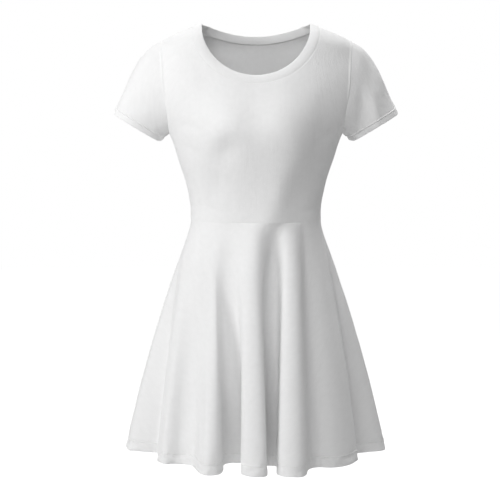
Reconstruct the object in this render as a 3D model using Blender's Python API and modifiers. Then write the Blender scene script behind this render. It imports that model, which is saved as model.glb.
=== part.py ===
"""A short-sleeved jersey skater dress, standing hollow as it is worn.

Metres, +Z up. The front faces -Y and the wearer's left is +X. The origin lies midway between the
two shoulders, where the wearer's shoulders carry the dress. Every panel is an open surface on the
dress's form, thickened inward by a Solidify modifier.
"""

from collections import namedtuple

import bmesh
import bpy
import numpy as np

CLOTH = 0.0012  # thickness of the cloth
SETBACK = 0.0002  # how far each piece stays back from the middle of a seam

# Heights of the form's main lines above the origin.
WAIST = -0.356
ARMPIT = -0.187
SHOULDER_POINT = -0.0130
HEM = -0.808

# The bodice is a stack of level rings. Each is a rounded oval, nearer to a box than an ellipse is.
ROUNDNESS = 2.3
Ring = namedtuple("Ring", "height half_width front back")
BODICE_RINGS = (
    Ring(height=-0.356, half_width=0.1262, front=0.093, back=0.086),
    Ring(height=-0.335, half_width=0.1262, front=0.094, back=0.086),
    Ring(height=-0.305, half_width=0.1310, front=0.098, back=0.089),
    Ring(height=-0.272, half_width=0.1388, front=0.105, back=0.094),
    Ring(height=-0.239, half_width=0.1500, front=0.112, back=0.098),
    Ring(height=-0.195, half_width=0.1645, front=0.115, back=0.101),
    Ring(height=-0.150, half_width=0.1890, front=0.111, back=0.102),
    Ring(height=-0.110, half_width=0.2060, front=0.106, back=0.101),
    Ring(height=-0.070, half_width=0.2080, front=0.098, back=0.097),
    Ring(height=-0.040, half_width=0.1990, front=0.091, back=0.091),
    Ring(height=-0.0130, half_width=0.1830, front=0.084, back=0.084),
    Ring(height=-0.0050, half_width=0.1700, front=0.080, back=0.080),
    Ring(height=0.0045, half_width=0.1480, front=0.075, back=0.075),
    Ring(height=0.0120, half_width=0.1302, front=0.069, back=0.070),
    Ring(height=0.0170, half_width=0.1168, front=0.065, back=0.066),
    Ring(height=0.0196, half_width=0.1040, front=0.061, back=0.063),
)

# The soft fullness that the bodice is cut with on each side of the front.
BUST_SIDE = 0.057
BUST_HEIGHT = -0.172
BUST_RADIUS = 0.062
BUST_DEPTH = 0.027

# The armhole lies in an upright surface whose distance from the middle changes with height.
ArmholeSide = namedtuple("ArmholeSide", "height distance")
ARMHOLE_SIDES = (
    ArmholeSide(height=-0.1870, distance=0.1672),
    ArmholeSide(height=-0.1600, distance=0.1680),
    ArmholeSide(height=-0.1120, distance=0.1745),
    ArmholeSide(height=-0.0670, distance=0.1775),
    ArmholeSide(height=-0.0400, distance=0.1795),
    ArmholeSide(height=-0.0130, distance=0.1830),
)

# The neck seam and the neckband's free edge, by their heights at the shoulder, at the middle of
# the front and at the middle of the back. Each is half an ellipse in front and a shallow curve
# behind, found on the form by halving an interval a number of times.
NeckLine = namedtuple("NeckLine", "shoulder front back")
NECK_SEAM = NeckLine(shoulder=0.0156, front=-0.0955, back=-0.0125)
NECK_EDGE = NeckLine(shoulder=0.0196, front=-0.0795, back=-0.0015)
NECK_HALVINGS = 30

# The left sleeve is lofted from the armhole to an oval at its hem. At the top of the armhole it
# leaves along the cap's axis, and at the underarm straight towards the hem. Each pull is the
# length of the loft's tangent there, so a longer one makes a rounder line.
SLEEVE_HEM_CENTRE = (0.2296, 0.0, -0.1772)
SLEEVE_HEM_AXIS = (0.516, 0.0, -0.857)
SLEEVE_CAP_AXIS = (0.940, 0.0, -0.341)
SLEEVE_HALF_HEIGHT = 0.0545
SLEEVE_HALF_DEPTH = 0.0440
SLEEVE_CORNER = 0.007  # radius of the hem's corners, at its top and its underside
SleevePull = namedtuple("SleevePull", "armhole hem")
SLEEVE_TOP = SleevePull(armhole=0.166, hem=0.158)
SLEEVE_UNDERARM = SleevePull(armhole=0.025, hem=0.030)
SLEEVE_GAP = 0.0003

# The skirt's outline without folds, at the hem. It flares faster just below the waist seam.
SKIRT_HEM = Ring(height=HEM, half_width=0.256, front=0.172, back=0.172)
SKIRT_EARLY_FLARE = 0.31
SKIRT_SOFT_START = 0.032
SKIRT_SOFT_REACH = 0.026

# Each row is one crest or valley of the skirt, in order round the waist from the wearer's right
# side, first across the front and then across the back. It leaves the waist seam at an angle from
# the middle of the front, starts at a share of the way down, and grows to its place at the hem: at
# once with an ease under 1, or slowly at first with an ease over 1.
Fold = namedtuple("Fold", "name waist_degrees hem_x hem_y half_breadth start ease")
FRONT_FOLDS = (
    Fold("right side seam", -90, -0.256, 0.000, 0.014, 0.00, 1.0),
    Fold("right side valley", -85, -0.182, -0.056, 0.007, 0.15, 1.1),
    Fold("right hip crest", -77, -0.180, -0.112, 0.018, 0.12, 1.1),
    Fold("right shallow valley", -65, -0.136, -0.142, 0.018, 0.15, 1.1),
    Fold("right crest", -51, -0.082, -0.207, 0.011, 0.25, 1.2),
    Fold("right wedge valley", -36, -0.035, -0.124, 0.016, 0.10, 1.1),
    Fold("middle crest", -5, -0.004, -0.213, 0.0215, 0.00, 0.7),
    Fold("middle valley", 20, 0.027, -0.142, 0.007, 0.00, 0.65),
    Fold("left crest", 39, 0.063, -0.215, 0.022, 0.00, 0.7),
    Fold("left valley", 54, 0.107, -0.159, 0.009, 0.02, 0.9),
    Fold("left broad panel", 67, 0.160, -0.143, 0.020, 0.05, 1.0),
    Fold("left hip crest", 78, 0.191, -0.105, 0.010, 0.05, 1.0),
    Fold("left side valley", 85, 0.190, -0.056, 0.007, 0.05, 1.0),
)
BACK_FOLDS = (
    Fold("left side seam", 90, 0.256, 0.000, 0.014, 0.00, 1.0),
    Fold("left back valley", 97, 0.196, 0.058, 0.008, 0.12, 1.1),
    Fold("left back crest", 108, 0.188, 0.122, 0.016, 0.10, 1.1),
    Fold("left back hollow", 121, 0.134, 0.132, 0.012, 0.12, 1.1),
    Fold("left seat crest", 136, 0.098, 0.200, 0.014, 0.06, 1.0),
    Fold("left seat valley", 151, 0.056, 0.130, 0.010, 0.08, 1.0),
    Fold("back middle crest", 168, 0.022, 0.206, 0.015, 0.00, 0.8),
    Fold("back middle valley", 186, -0.018, 0.138, 0.008, 0.02, 0.8),
    Fold("right seat crest", 204, -0.062, 0.208, 0.016, 0.04, 0.9),
    Fold("right seat valley", 220, -0.102, 0.134, 0.012, 0.10, 1.1),
    Fold("right back crest", 234, -0.150, 0.166, 0.014, 0.14, 1.2),
    Fold("right back hollow", 246, -0.170, 0.106, 0.008, 0.16, 1.2),
    Fold("right back edge", 257, -0.212, 0.090, 0.010, 0.18, 1.2),
    Fold("right back valley", 264, -0.200, 0.036, 0.006, 0.20, 1.1),
)

# A point that the skirt's rings pass beside: its place at the waist, at the hem without folds and
# at the folded hem.
Control = namedtuple("Control", "waist smooth folded fold is_middle")

# How finely each surface is divided.
PANEL_COLUMNS = 20
SIDE_ROWS = 6
ARMHOLE_ROWS = 9
SHOULDER_ROWS = 2
SLEEVE_ROWS = 6
BAND_ROWS = 2
FOLD_STEPS = 3
SKIRT_LEVELS = (0.0, 0.08, 0.20, 0.36, 0.56, 0.78, 1.0)

# How the bodice's columns crowd towards its sides, and how soon its rows leave the armhole.
SIDE_CROWDING = 1.25
EDGE_PULL = 2

WHITE = (0.88, 0.88, 0.87, 1.0)
ROUGHNESS = 0.9
COLLECTION = "skater_dress"


def clear_scene():
    for thing in list(bpy.data.objects):
        bpy.data.objects.remove(thing, do_unlink=True)


def curve_through(knots, values, places, closed=False):
    """The cubic curve through values at knots, read at places. A closed one ends as it begins."""
    knots = np.asarray(knots, float)
    values = np.asarray(values, float)
    steps = np.diff(knots)
    slopes = np.diff(values, axis=0) / steps.reshape((-1,) + (1,) * (values.ndim - 1))
    count = len(knots)
    system = np.zeros((count, count))
    target = np.zeros(values.shape)
    for i in range(1, count - 1):
        system[i, i - 1 : i + 2] = (
            1 / steps[i - 1],
            2 / steps[i - 1] + 2 / steps[i],
            1 / steps[i],
        )
        target[i] = 3 * (slopes[i - 1] / steps[i - 1] + slopes[i] / steps[i])
    if closed:
        system[0, 0] = 2 / steps[-1] + 2 / steps[0]
        system[0, 1] = 1 / steps[0]
        system[0, -2] = 1 / steps[-1]
        target[0] = 3 * (slopes[-1] / steps[-1] + slopes[0] / steps[0])
        system[-1, 0], system[-1, -1] = 1, -1
    else:
        system[0, :2] = 2, 1
        system[-1, -2:] = 1, 2
        target[0] = 3 * slopes[0]
        target[-1] = 3 * slopes[-1]
    tangents = np.linalg.solve(system, target)
    places = np.asarray(places, float)
    span = np.clip(np.searchsorted(knots, places, side="right") - 1, 0, count - 2)
    shape = places.shape + (1,) * (values.ndim - 1)
    h = steps[span].reshape(shape)
    t = ((places - knots[span]) / steps[span]).reshape(shape)
    return (
        values[span] * (1 + 2 * t) * (1 - t) ** 2
        + tangents[span] * h * t * (1 - t) ** 2
        + values[span + 1] * t**2 * (3 - 2 * t)
        + tangents[span + 1] * h * t**2 * (t - 1)
    )


def column(table, name):
    return [getattr(row, name) for row in table]


def ring_sizes(height):
    """Half width, front depth and back depth of the bodice's ring at a height."""
    heights = column(BODICE_RINGS, "height")
    sizes = [(ring.half_width, ring.front, ring.back) for ring in BODICE_RINGS]
    return np.moveaxis(curve_through(heights, sizes, height), -1, 0)


def armhole_distance(height):
    return curve_through(
        column(ARMHOLE_SIDES, "height"), column(ARMHOLE_SIDES, "distance"), height
    )


def oval(half_width, front, back, angle):
    """Points of a level oval at angles from the middle of its front, as x and y."""
    across, ahead = np.sin(angle), np.cos(angle)
    depth = np.where(ahead > 0, front, back)
    size = np.abs(across / half_width) ** ROUNDNESS + np.abs(ahead / depth) ** ROUNDNESS
    reach = size ** (-1 / ROUNDNESS)
    return reach * across, -reach * ahead


def bodice_point(angle, height):
    """The bodice's outer surface at an angle from the middle of the front, and a height."""
    half_width, front, back = ring_sizes(height)
    x, y = oval(half_width, front, back, angle)
    facing = np.clip(np.cos(angle), 0, 1)
    for side in (-BUST_SIDE, BUST_SIDE):
        away = ((x - side) ** 2 + (height - BUST_HEIGHT) ** 2) / BUST_RADIUS**2
        y = y - BUST_DEPTH * np.exp(-away) * facing
    return np.stack([x, y, height + 0 * x], axis=-1)


def armhole_rows():
    """Heights up the armhole, closer together at its ends, with the front and back angles there."""
    turns = np.linspace(0, np.pi, ARMHOLE_ROWS + 1)
    heights = ARMPIT + (SHOULDER_POINT - ARMPIT) * (1 - np.cos(turns)) / 2
    half_width, front, back = ring_sizes(heights)
    across = np.minimum(armhole_distance(heights) / half_width, 1)
    across[[0, -1]] = 1
    ahead = (1 - across**ROUNDNESS) ** (1 / ROUNDNESS)
    return (
        heights,
        np.arctan2(across * half_width, ahead * front),
        np.arctan2(across * half_width, ahead * back),
    )


def neck_heights(line, spread, is_front):
    """The heights of a neck line at spreads from -1 to 1 across a panel."""
    reach = ring_sizes(np.array(line.shoulder))[0]
    angle = panel_angle(spread, np.pi / 2, is_front)
    low = np.full(spread.shape, WAIST)
    high = np.full(spread.shape, line.shoulder)
    for _ in range(NECK_HALVINGS):
        height = (low + high) / 2
        share = np.clip(np.abs(bodice_point(angle, height)[..., 0]) / reach, 0, 1)
        if is_front:
            wanted = line.shoulder - (line.shoulder - line.front) * np.sqrt(1 - share**2)
        else:
            wanted = line.back + (line.shoulder - line.back) * share**2
        low = np.where(height < wanted, height, low)
        high = np.where(height < wanted, high, height)
    return high


def column_spreads():
    """Spreads from -1 to 1 across a panel, closer together at its sides, where the form turns."""
    steps = np.linspace(-SIDE_CROWDING, SIDE_CROWDING, PANEL_COLUMNS + 1)
    return np.sin(steps) / np.sin(SIDE_CROWDING)


def panel_angle(spread, turn, is_front):
    """The angle at a spread from -1 to 1 across a panel whose edges lie at a turn from its middle."""
    return spread * turn if is_front else np.pi - spread * turn


def bodice_grid(is_front):
    """Rows of points up a bodice panel, from the waist seam to the neck seam."""
    armhole, front_turns, back_turns = armhole_rows()
    side = np.linspace(WAIST + SETBACK, ARMPIT, SIDE_ROWS + 1)
    shoulder = np.linspace(SHOULDER_POINT, NECK_SEAM.shoulder - SETBACK, SHOULDER_ROWS + 1)
    edge = np.concatenate([side, armhole[1:], shoulder[1:]])
    even = np.concatenate(
        [side, np.linspace(ARMPIT, SHOULDER_POINT, ARMHOLE_ROWS + 1)[1:], shoulder[1:]]
    )
    turn = np.full(edge.shape, np.pi / 2)
    turn[SIDE_ROWS : SIDE_ROWS + ARMHOLE_ROWS + 1] = front_turns if is_front else back_turns
    turn = turn - SETBACK / ring_sizes(edge)[0]
    spread = column_spreads()
    nearness = np.abs(spread) ** EDGE_PULL
    climb = even[:, None] * (1 - nearness) + edge[:, None] * nearness - edge[0]
    top = neck_heights(NECK_SEAM, spread, is_front) - SETBACK
    height = edge[0] + climb * (top - edge[0]) / (edge[-1] - edge[0])
    turns = np.pi / 2 - nearness * (np.pi / 2 - turn[:, None])
    return bodice_point(panel_angle(spread, turns, is_front), height)


def sleeve_grid(side):
    """Rows of points down a sleeve from the armhole, each a loop that starts at the armpit."""
    heights, front_turns, back_turns = armhole_rows()
    front = bodice_point(front_turns, heights)
    back = bodice_point(np.pi - back_turns, heights)
    start = np.concatenate([front, back[-2:0:-1]])
    turn = np.linspace(0, 2 * np.pi, len(start), endpoint=False)[:, None]
    hem_axis = np.array(SLEEVE_HEM_AXIS)
    forward = np.array((0, -1, 0))
    upward = np.cross(forward, hem_axis)
    end = np.array(SLEEVE_HEM_CENTRE) - SLEEVE_HALF_HEIGHT * np.cos(turn) * upward
    end = end + SLEEVE_HALF_DEPTH * np.sin(turn) * forward
    past = np.clip(SLEEVE_HALF_HEIGHT * (np.abs(np.cos(turn)) - 1) + SLEEVE_CORNER, 0, None)
    end = end - (SLEEVE_CORNER - np.sqrt(SLEEVE_CORNER**2 - past**2)) * hem_axis
    topness = (1 - np.cos(turn)) / 2
    chord = end - start
    chord = chord / np.linalg.norm(chord, axis=1)[:, None]
    leave = chord * (1 - topness**2) + np.array(SLEEVE_CAP_AXIS) * topness**2
    leave = leave / np.linalg.norm(leave, axis=1)[:, None]
    pull = SleevePull(*(low + (top - low) * topness for low, top in zip(SLEEVE_UNDERARM, SLEEVE_TOP)))
    start = start + SLEEVE_GAP * leave
    t = np.linspace(0, 1, SLEEVE_ROWS + 1)[:, None, None]
    grid = (
        start * (1 + 2 * t) * (1 - t) ** 2
        + leave * pull.armhole * t * (1 - t) ** 2
        + end * t**2 * (3 - 2 * t)
        + hem_axis * pull.hem * t**2 * (t - 1)
    )
    return grid * np.array((side, 1, 1))


def band_grid():
    """Rows of points up the neckband from the neck seam, each a loop round the neck."""
    spread = column_spreads()
    rows = []
    for share in np.linspace(0, 1, BAND_ROWS + 1):
        line = NeckLine(*(a + (b - a) * share for a, b in zip(NECK_SEAM, NECK_EDGE)))
        loop = []
        for is_front in (True, False):
            height = neck_heights(line, spread, is_front)
            if share == 0:
                height = height + SETBACK
            points = bodice_point(panel_angle(spread, np.pi / 2, is_front), height)
            loop.append(points[:-1] if is_front else points[-1:0:-1])
        rows.append(np.concatenate(loop))
    return np.array(rows)


def skirt_controls():
    """The skirt's control points: each has its fold and its waist, smooth hem and folded hem points.

    Every fold has one on each side of its middle, and a side seam also has one in the middle."""
    folds = FRONT_FOLDS + BACK_FOLDS
    waist_angles = np.radians(column(folds, "waist_degrees"))
    hem = np.array([(fold.hem_x, fold.hem_y) for fold in folds])
    along = np.roll(hem, -1, axis=0) - np.roll(hem, 1, axis=0)
    along = along / np.linalg.norm(along, axis=1)[:, None]
    gaps = np.diff(np.append(waist_angles, waist_angles[0] + 2 * np.pi))
    waist_ring = ring_sizes(np.array(WAIST))
    controls = []
    for i, fold in enumerate(folds):
        is_seam = fold.name.endswith("seam")
        for sign in (-1, 0, 1) if is_seam else (-1, 1):
            gap = gaps[i] if sign > 0 else gaps[i - 1]
            waist = oval(*waist_ring, waist_angles[i] + sign * gap / 4)
            folded = hem[i] + sign * fold.half_breadth * along[i]
            smooth = oval(*SKIRT_HEM[1:], np.arctan2(folded[0], -folded[1]))
            controls.append(
                Control(
                    waist=np.array([*waist, WAIST]),
                    smooth=np.array([*smooth, HEM]),
                    folded=np.array([*folded, HEM]),
                    fold=fold,
                    is_middle=sign == 0,
                )
            )
    return controls


def skirt_ring(controls, level):
    """The control points at a level, from 0 at the waist seam to 1 at the hem."""
    flare = level * (1 + SKIRT_EARLY_FLARE * (1 - level))
    flare = flare - SKIRT_SOFT_START * (1 - np.exp(-level / SKIRT_SOFT_REACH)) * (1 - level)
    points = []
    for control in controls:
        start, ease = control.fold.start, control.fold.ease
        grown = max(0.0, (level - start) / (1 - start)) ** ease
        point = control.waist + flare * (control.smooth - control.waist)
        point = point + grown * (control.folded - control.smooth)
        point[2] = WAIST + level * (HEM - WAIST)
        points.append(point)
    return np.array(points)


def skirt_grid(is_front):
    """Rows of points down a skirt panel from the waist seam, across it from seam to seam."""
    controls = skirt_controls()
    controls = controls[1:] + controls[:1]
    middle = [i for i, control in enumerate(controls) if control.is_middle][1]
    first, last = (0, middle) if is_front else (middle, len(controls))
    rows = []
    for level in SKIRT_LEVELS:
        ring = skirt_ring(controls, level)
        ring = np.append(ring, ring[:1], axis=0)
        knots = np.append(0, np.cumsum(np.linalg.norm(np.diff(ring, axis=0), axis=1)))
        steps = np.arange(first * FOLD_STEPS, last * FOLD_STEPS + 1) / FOLD_STEPS
        places = np.interp(steps, np.arange(len(knots)), knots)
        places[0] += SETBACK
        places[-1] -= SETBACK
        row = curve_through(knots, ring, places, closed=True)
        if level == 0:
            row[:, 2] -= SETBACK
        rows.append(row)
    return np.array(rows)


def cloth_material(name):
    material = bpy.data.materials.new(name)
    material.use_nodes = True
    shader = material.node_tree.nodes["Principled BSDF"]
    shader.inputs["Base Color"].default_value = WHITE
    shader.inputs["Roughness"].default_value = ROUGHNESS
    shader.inputs["Metallic"].default_value = 0.0
    return material


def cloth_piece(name, grid, collection, is_loop=False, is_flipped=False):
    """A cloth piece with its outer face through the grid's points."""
    rows, columns = grid.shape[:2]
    mesh = bpy.data.meshes.new(name)
    work = bmesh.new()
    points = [[work.verts.new(point) for point in row] for row in grid]
    for i in range(rows - 1):
        for j in range(columns if is_loop else columns - 1):
            k = (j + 1) % columns
            corners = (points[i][j], points[i][k], points[i + 1][k], points[i + 1][j])
            work.faces.new(corners[::-1] if is_flipped else corners)
    work.to_mesh(mesh)
    work.free()
    mesh.shade_smooth()
    mesh.materials.append(cloth_material(name + "_jersey"))
    piece = bpy.data.objects.new(name, mesh)
    collection.objects.link(piece)
    shell = piece.modifiers.new("cloth thickness", "SOLIDIFY")
    shell.thickness = CLOTH
    shell.offset = -1.0
    return piece


def build():
    clear_scene()
    collection = bpy.data.collections.new(COLLECTION)
    bpy.context.scene.collection.children.link(collection)
    cloth_piece("bodice_front", bodice_grid(True), collection)
    cloth_piece("bodice_back", bodice_grid(False), collection, is_flipped=True)
    cloth_piece("skirt_front", skirt_grid(True), collection, is_flipped=True)
    cloth_piece("skirt_back", skirt_grid(False), collection, is_flipped=True)
    cloth_piece("sleeve_left", sleeve_grid(1), collection, is_loop=True, is_flipped=True)
    cloth_piece("sleeve_right", sleeve_grid(-1), collection, is_loop=True)
    cloth_piece("neckband", band_grid(), collection, is_loop=True)


build()
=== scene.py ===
"""The looks of a white jersey skater dress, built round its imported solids.

Metres, +Z up. The front faces -Y and the wearer's left is +X. Every panel is a thin shell of knit
cloth on the form of its solid, with its seams, turned hems, creases and rows of stitches.
"""

import math
from collections import namedtuple

import bmesh
import bpy
import numpy as np
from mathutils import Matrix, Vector, noise


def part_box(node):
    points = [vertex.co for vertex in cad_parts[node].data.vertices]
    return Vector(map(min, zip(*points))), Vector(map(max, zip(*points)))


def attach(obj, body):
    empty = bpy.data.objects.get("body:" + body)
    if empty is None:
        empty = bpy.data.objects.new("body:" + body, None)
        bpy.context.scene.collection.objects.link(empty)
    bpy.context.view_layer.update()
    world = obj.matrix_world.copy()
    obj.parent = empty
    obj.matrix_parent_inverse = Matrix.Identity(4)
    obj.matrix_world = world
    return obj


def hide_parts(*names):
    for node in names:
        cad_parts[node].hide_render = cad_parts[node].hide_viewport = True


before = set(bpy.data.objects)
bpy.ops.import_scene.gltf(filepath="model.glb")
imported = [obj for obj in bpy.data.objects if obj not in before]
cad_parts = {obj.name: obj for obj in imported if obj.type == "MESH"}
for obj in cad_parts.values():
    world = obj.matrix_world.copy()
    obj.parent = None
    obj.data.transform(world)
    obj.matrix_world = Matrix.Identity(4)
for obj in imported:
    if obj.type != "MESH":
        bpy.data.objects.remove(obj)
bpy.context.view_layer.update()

# ------------------------------------------------------------
# Sizes and other values
# ------------------------------------------------------------

JERSEY = 0.0007  # thickness of the single jersey

# Heights of the form's main lines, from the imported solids.
WAIST = (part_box("bodice_front")[0].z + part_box("skirt_front")[1].z) / 2
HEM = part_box("skirt_front")[0].z
SHOULDER_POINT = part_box("sleeve_left")[1].z
ARMPIT = -0.187

# The bodice is a stack of level rings. Each is a rounded oval, nearer to a box than an ellipse is.
ROUNDNESS = 2.3
Ring = namedtuple("Ring", "height half_width front back")
BODICE_RINGS = (
    Ring(height=-0.356, half_width=0.1262, front=0.093, back=0.086),
    Ring(height=-0.335, half_width=0.1262, front=0.094, back=0.086),
    Ring(height=-0.305, half_width=0.1310, front=0.098, back=0.089),
    Ring(height=-0.272, half_width=0.1388, front=0.105, back=0.094),
    Ring(height=-0.239, half_width=0.1500, front=0.112, back=0.098),
    Ring(height=-0.195, half_width=0.1645, front=0.115, back=0.101),
    Ring(height=-0.150, half_width=0.1890, front=0.111, back=0.102),
    Ring(height=-0.110, half_width=0.2060, front=0.106, back=0.101),
    Ring(height=-0.070, half_width=0.2080, front=0.098, back=0.097),
    Ring(height=-0.040, half_width=0.1990, front=0.091, back=0.091),
    Ring(height=-0.0130, half_width=0.1830, front=0.084, back=0.084),
    Ring(height=-0.0050, half_width=0.1700, front=0.080, back=0.080),
    Ring(height=0.0045, half_width=0.1480, front=0.075, back=0.075),
    Ring(height=0.0120, half_width=0.1302, front=0.069, back=0.070),
    Ring(height=0.0170, half_width=0.1168, front=0.065, back=0.066),
    Ring(height=0.0196, half_width=0.1040, front=0.061, back=0.063),
)

# The soft fullness that the bodice is cut with on each side of the front.
BUST_SIDE = 0.057
BUST_HEIGHT = -0.172
BUST_RADIUS = 0.062
BUST_DEPTH = 0.027

# The armhole lies in an upright surface whose distance from the middle changes with height.
ArmholeSide = namedtuple("ArmholeSide", "height distance")
ARMHOLE_SIDES = (
    ArmholeSide(height=-0.1870, distance=0.1672),
    ArmholeSide(height=-0.1600, distance=0.1680),
    ArmholeSide(height=-0.1120, distance=0.1745),
    ArmholeSide(height=-0.0670, distance=0.1775),
    ArmholeSide(height=-0.0400, distance=0.1795),
    ArmholeSide(height=-0.0130, distance=0.1830),
)

# The neck seam and the neckband's fold, by their heights at the shoulder, at the middle of the
# front and at the middle of the back.
NeckLine = namedtuple("NeckLine", "shoulder front back")
NECK_SEAM = NeckLine(shoulder=0.0156, front=-0.0955, back=-0.0125)
NECK_EDGE = NeckLine(shoulder=0.0196, front=-0.0795, back=-0.0015)
NECK_HALVINGS = 34  # of the span in which a neck line's height is found

# The left sleeve is lofted from the armhole to an oval at its hem.
SLEEVE_HEM_CENTRE = (0.2296, 0.0, -0.1772)
SLEEVE_HEM_AXIS = (0.516, 0.0, -0.857)
SLEEVE_CAP_AXIS = (0.940, 0.0, -0.341)
SLEEVE_HALF_HEIGHT = 0.0545
SLEEVE_HALF_DEPTH = 0.0440
SLEEVE_CORNER = 0.007  # how far in from its top and its underside the hem turns up
SLEEVE_SAMPLES = 400  # of its lengthwise curves, to measure them
SleevePull = namedtuple("SleevePull", "armhole hem")
SLEEVE_TOP = SleevePull(armhole=0.166, hem=0.158)
SLEEVE_UNDERARM = SleevePull(armhole=0.025, hem=0.030)

# The skirt's outline without folds, at the hem. It flares faster in its upper part, but leaves the
# waist seam softly, over a share of its length.
SKIRT_HEM = Ring(height=HEM, half_width=0.256, front=0.172, back=0.172)
SKIRT_EARLY_FLARE = 0.31
SKIRT_SOFT_START = 0.040
SKIRT_SOFT_REACH = 0.033

# Each row is one crest or valley of the skirt, in order round the waist from the wearer's right
# side, first across the front and then across the back. It leaves the waist seam at an angle from
# the middle of the front, starts at a share of the way down, and grows to its place at the hem: at
# once with an ease under 1, or slowly at first with an ease over 1. There it is rounded over its
# half breadth on each side of its middle.
Fold = namedtuple("Fold", "name waist_degrees hem_x hem_y half_breadth start ease")
FRONT_FOLDS = (
    Fold("right side seam", -90, -0.256, 0.000, 0.014, 0.00, 1.0),
    Fold("right side valley", -85, -0.182, -0.056, 0.007, 0.15, 1.1),
    Fold("right hip crest", -77, -0.180, -0.112, 0.018, 0.12, 1.1),
    Fold("right shallow valley", -65, -0.136, -0.142, 0.018, 0.15, 1.1),
    Fold("right crest", -51, -0.082, -0.207, 0.011, 0.25, 1.2),
    Fold("right wedge valley", -36, -0.035, -0.124, 0.016, 0.10, 1.1),
    Fold("middle crest", -5, -0.004, -0.213, 0.0215, 0.00, 0.7),
    Fold("middle valley", 20, 0.027, -0.142, 0.007, 0.00, 0.65),
    Fold("left crest", 39, 0.063, -0.215, 0.022, 0.00, 0.7),
    Fold("left valley", 54, 0.107, -0.159, 0.009, 0.02, 0.9),
    Fold("left broad panel", 67, 0.160, -0.143, 0.020, 0.05, 1.0),
    Fold("left hip crest", 78, 0.191, -0.105, 0.010, 0.05, 1.0),
    Fold("left side valley", 85, 0.190, -0.056, 0.007, 0.05, 1.0),
)
BACK_FOLDS = (
    Fold("left side seam", 90, 0.256, 0.000, 0.014, 0.00, 1.0),
    Fold("left back valley", 97, 0.196, 0.058, 0.008, 0.12, 1.1),
    Fold("left back crest", 108, 0.188, 0.122, 0.016, 0.10, 1.1),
    Fold("left back hollow", 121, 0.134, 0.132, 0.012, 0.12, 1.1),
    Fold("left seat crest", 136, 0.098, 0.200, 0.014, 0.06, 1.0),
    Fold("left seat valley", 151, 0.056, 0.130, 0.010, 0.08, 1.0),
    Fold("back middle crest", 168, 0.022, 0.206, 0.015, 0.00, 0.8),
    Fold("back middle valley", 186, -0.018, 0.138, 0.008, 0.02, 0.8),
    Fold("right seat crest", 204, -0.062, 0.208, 0.016, 0.04, 0.9),
    Fold("right seat valley", 220, -0.102, 0.134, 0.012, 0.10, 1.1),
    Fold("right back crest", 234, -0.150, 0.166, 0.014, 0.14, 1.2),
    Fold("right back hollow", 246, -0.170, 0.106, 0.008, 0.16, 1.2),
    Fold("right back edge", 257, -0.212, 0.090, 0.010, 0.18, 1.2),
    Fold("right back valley", 264, -0.200, 0.036, 0.006, 0.20, 1.1),
)

# A point that the skirt's rings pass beside: its place at the waist, at the hem without folds and
# at the folded hem.
Control = namedtuple("Control", "waist smooth folded fold is_middle")

# How finely each surface is divided. Rows and columns crowd at these distances from a seam, and
# rows are a hem step apart near a hem.
SEAM_STEPS = (0.0005, 0.0010, 0.0016, 0.0023, 0.0032, 0.0045, 0.0065)
PANEL_COLUMNS = 110
SIDE_CROWDING = 1.25  # how strongly columns crowd toward a panel's sides
EDGE_PULL = 2  # the power by which rows bend to the armhole's heights toward a side
SIDE_ROWS = 40
ARMHOLE_ROWS = 60
SHOULDER_ROWS = 14
SLEEVE_ROWS = 52
FOLD_STEPS = 12
SKIRT_SIDE_STEPS = (0, 0.03, 0.06, 0.1, 0.15, 0.21, 0.28, 0.37, 0.5, 0.65, 0.82)
SKIRT_ROWS = 72
HEM_STEP = 0.0008
BAND_ROWS = 16
TURN_STEPS = 6

# Turned edges: the width that is turned in, the height of the fine rows over it, and the radius of
# the fold.
SKIRT_TURN = 0.0225
SLEEVE_TURN = 0.0140
SKIRT_FINE = SKIRT_TURN + 0.001
SLEEVE_FINE = SLEEVE_TURN + 0.002
TURN_RADIUS = 0.0011

# The neckband stands a little full between its seam and its fold. Toward the fold it curls in at the
# front and out at the back, with a blend over the shoulders.
BAND_RADIUS = 0.0011
BAND_FULLNESS = 0.0008
BAND_ROUNDING = 0.7
BAND_CURL = 0.0025
BAND_BACK_CURL = 0.0065
BAND_BLEND = 0.5

# Seams: how far the cloth sinks at a seam, how far that reaches, the puff beside it, and the small
# puckers. Under a height the puff of an armhole's seam dies away.
SeamShape = namedtuple(
    "SeamShape", "depth reach puff puff_at puff_reach pucker fades_under", defaults=(None,)
)
PLAIN_SEAM = SeamShape(
    depth=0.0005, reach=0.0011, puff=0.0002, puff_at=0.004, puff_reach=0.003, pucker=0.0
)
WAIST_SEAM = SeamShape(
    depth=0.0001, reach=0.0010, puff=0.0001, puff_at=0.004, puff_reach=0.003, pucker=0.0002
)
NECK_JOIN = SeamShape(
    depth=0.0003, reach=0.0010, puff=0.0001, puff_at=0.003, puff_reach=0.002, pucker=0.0
)
ARM_SEAM = SeamShape(
    depth=0.0,
    reach=0.001,
    puff=0.0018,
    puff_at=0.0,
    puff_reach=0.0024,
    pucker=0.0002,
    fades_under=-0.095,
)
SLEEVE_SEAM = SeamShape(
    depth=0.0,
    reach=0.001,
    puff=0.0007,
    puff_at=0.0,
    puff_reach=0.0018,
    pucker=0.0002,
    fades_under=-0.095,
)
SEAM_FADE = 0.045
PUCKER_REACH = 0.007

# Twin rows of stitches by their distances from the edge, the dent under each, and the tunnel of cloth
# that stands up between them.
SLEEVE_TWIN_ROWS = (0.0088, 0.0120)
SKIRT_TWIN_ROWS = (0.0168, 0.0200)
STITCH_DENT = 0.00045
STITCH_REACH = 0.0010
SLEEVE_TUNNEL = 0.0011
SKIRT_TUNNEL = 0.0007
TUNNEL_REACH = 0.0012

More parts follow.
